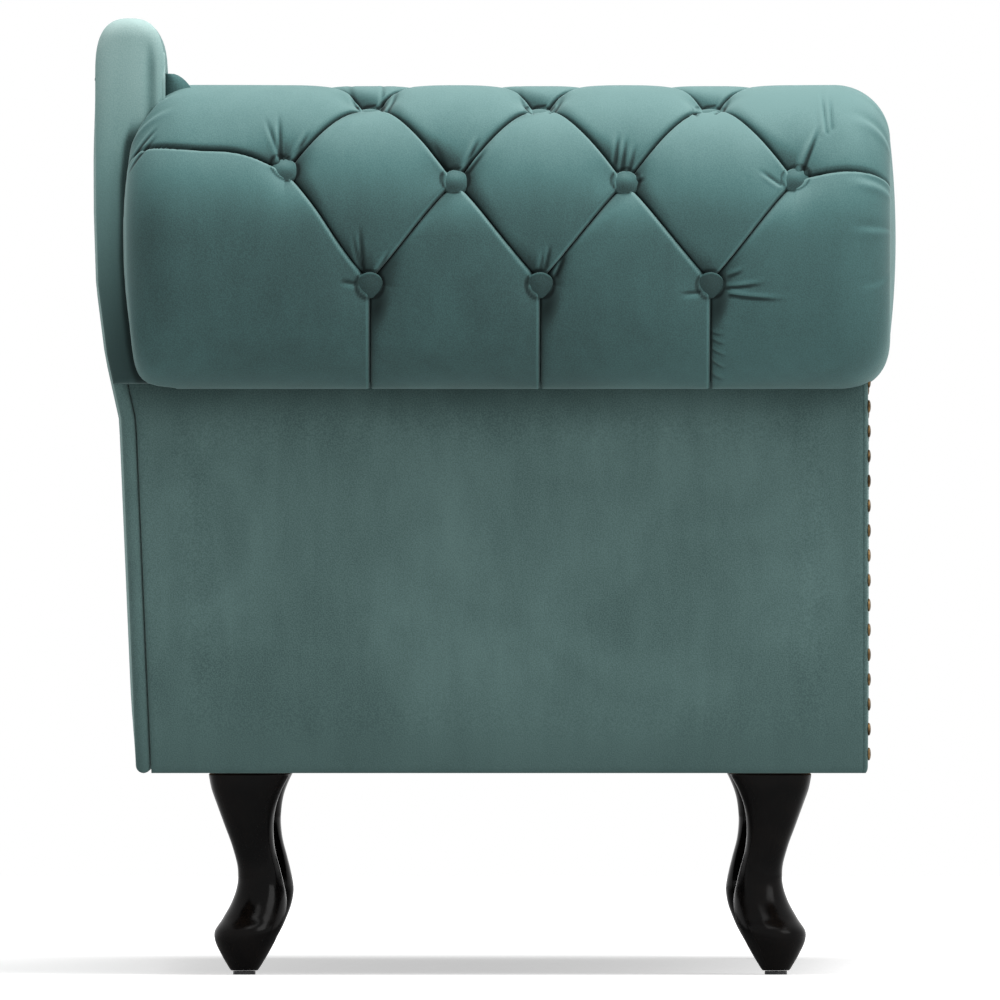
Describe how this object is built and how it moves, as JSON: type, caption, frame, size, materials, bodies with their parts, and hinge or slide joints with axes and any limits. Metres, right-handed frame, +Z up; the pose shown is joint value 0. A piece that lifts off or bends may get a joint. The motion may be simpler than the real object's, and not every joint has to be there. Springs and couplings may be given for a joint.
{
  "type": "fainting couch",
  "caption": "Velvet fainting couch with a button-tufted head roll, a sweeping tufted back along part of its length, a crowned seat and curved lacquered legs.",
  "frame": {"origin": "on the floor, under the middle of the outer box", "axes": "+Z up, -Y towards the front of the seat, -X towards the head end with the tufted roll"},
  "size_m": [1.5276, 0.645, 0.771],
  "materials": {
    "velvet": "sea-green cut velvet, brushed nap",
    "black_lacquer": "black gloss lacquer",
    "frame_timber": "planed hardwood, hidden",
    "antique_brass": "antique brass nail heads",
    "plate_steel": "zinc plated, hidden",
    "seat_foam": "seat foam, hidden",
    "webbing": "elastic webbing, hidden",
    "lining_cloth": "black dust cloth",
    "nylon": "nylon glide"
  },
  "bodies": {
    "root": {"front_rail": "frame_timber", "rear_rail": "frame_timber", "head_rail": "frame_timber", "centre_rail": "frame_timber", "foot_rail": "frame_timber", "corner_block_front_head": "frame_timber", "corner_block_rear_head": "frame_timber", "corner_block_front_foot": "frame_timber", "corner_block_rear_foot": "frame_timber", "arm_post_front": "frame_timber", "arm_post_rear": "frame_timber", "arm_top_rail": "frame_timber", "arm_lower_rail": "frame_timber", "back_post_head": "frame_timber", "back_post_middle": "frame_timber", "back_post_foot": "frame_timber", "back_top_rail": "frame_timber", "webbing_strap_1": "webbing", "webbing_strap_2": "webbing", "webbing_strap_3": "webbing", "seat_foam": "seat_foam", "head_roll": "velvet", "head_roll_button_1": "velvet", "head_roll_button_2": "velvet", "head_roll_button_3": "velvet", "head_roll_button_4": "velvet", "head_roll_button_5": "velvet", "head_roll_button_6": "velvet", "head_roll_button_7": "velvet", "inside_arm": "velvet", "end_panel": "velvet", "back_end_cover": "velvet", "arm_front_facing": "velvet", "crest_border": "velvet", "outside_back": "velvet", "inside_back": "velvet", "seat_cushion": "velvet", "front_band": "velvet", "foot_band": "velvet", "rear_band": "velvet", "arm_nail_strip": "antique_brass", "dust_cover": "lining_cloth", "leg_front_head": "black_lacquer", "leg_rear_head": "black_lacquer", "leg_front_foot": "black_lacquer", "leg_rear_foot": "black_lacquer", "leg_plate_front_head": "plate_steel", "leg_plate_rear_head": "plate_steel", "leg_plate_front_foot": "plate_steel", "leg_plate_rear_foot": "plate_steel", "leg_bolt_front_head": "plate_steel", "leg_bolt_rear_head": "plate_steel", "leg_bolt_front_foot": "plate_steel", "leg_bolt_rear_foot": "plate_steel", "glide_front_head": "nylon", "glide_rear_head": "nylon", "glide_front_foot": "nylon", "glide_rear_foot": "nylon"}
  },
  "joints": []
}
